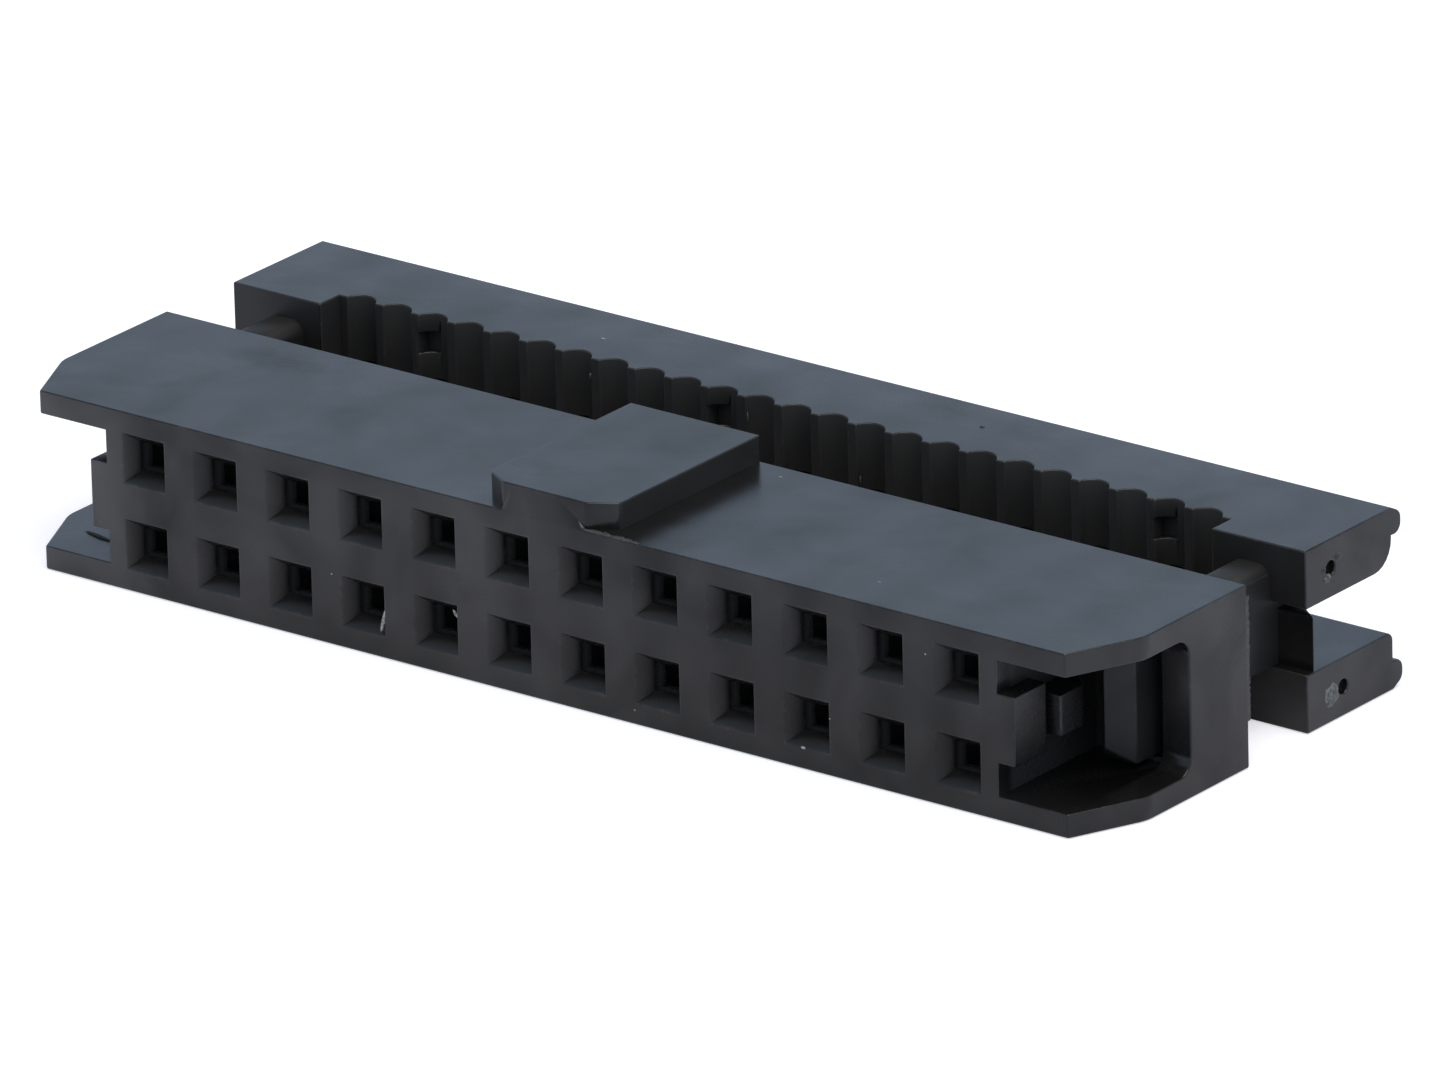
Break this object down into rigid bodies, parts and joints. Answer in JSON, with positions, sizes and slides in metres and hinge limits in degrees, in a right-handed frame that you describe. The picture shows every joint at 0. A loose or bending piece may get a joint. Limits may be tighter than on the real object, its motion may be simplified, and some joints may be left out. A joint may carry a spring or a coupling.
{
  "type": "insulation displacement connector",
  "caption": "Black ribbon-cable socket connector with rows of square pin holes, a polarising key, an open press-down cable cover and forked insulation displacement contacts.",
  "frame": {"origin": "middle of the mating face, between the four middle sockets", "axes": "+X along the connector, +Y from the mating face back to the cable cover, +Z towards the key"},
  "size_m": [0.0372, 0.014, 0.006],
  "materials": {
    "housing_plastic": "matt moulded glass-filled polyester",
    "cover_plastic": "matt moulded glass-filled polyester",
    "contact_metal": "stamped phosphor bronze, plated"
  },
  "bodies": {
    "base": {"housing": "housing_plastic", "contact_01": "contact_metal", "contact_02": "contact_metal", "contact_03": "contact_metal", "contact_04": "contact_metal", "contact_05": "contact_metal", "contact_06": "contact_metal", "contact_07": "contact_metal", "contact_08": "contact_metal", "contact_09": "contact_metal", "contact_10": "contact_metal", "contact_11": "contact_metal", "contact_12": "contact_metal", "contact_13": "contact_metal", "contact_14": "contact_metal", "contact_15": "contact_metal", "contact_16": "contact_metal", "contact_17": "contact_metal", "contact_18": "contact_metal", "contact_19": "contact_metal", "contact_20": "contact_metal", "contact_21": "contact_metal", "contact_22": "contact_metal", "contact_23": "contact_metal", "contact_24": "contact_metal"},
    "cover": {"cover": "cover_plastic"}
  },
  "joints": [
    {"name": "cover_slide", "type": "slide", "parent": "base", "child": "cover", "axis": [0, -1, 0], "range_m": [0, 0.00275]}
  ]
}
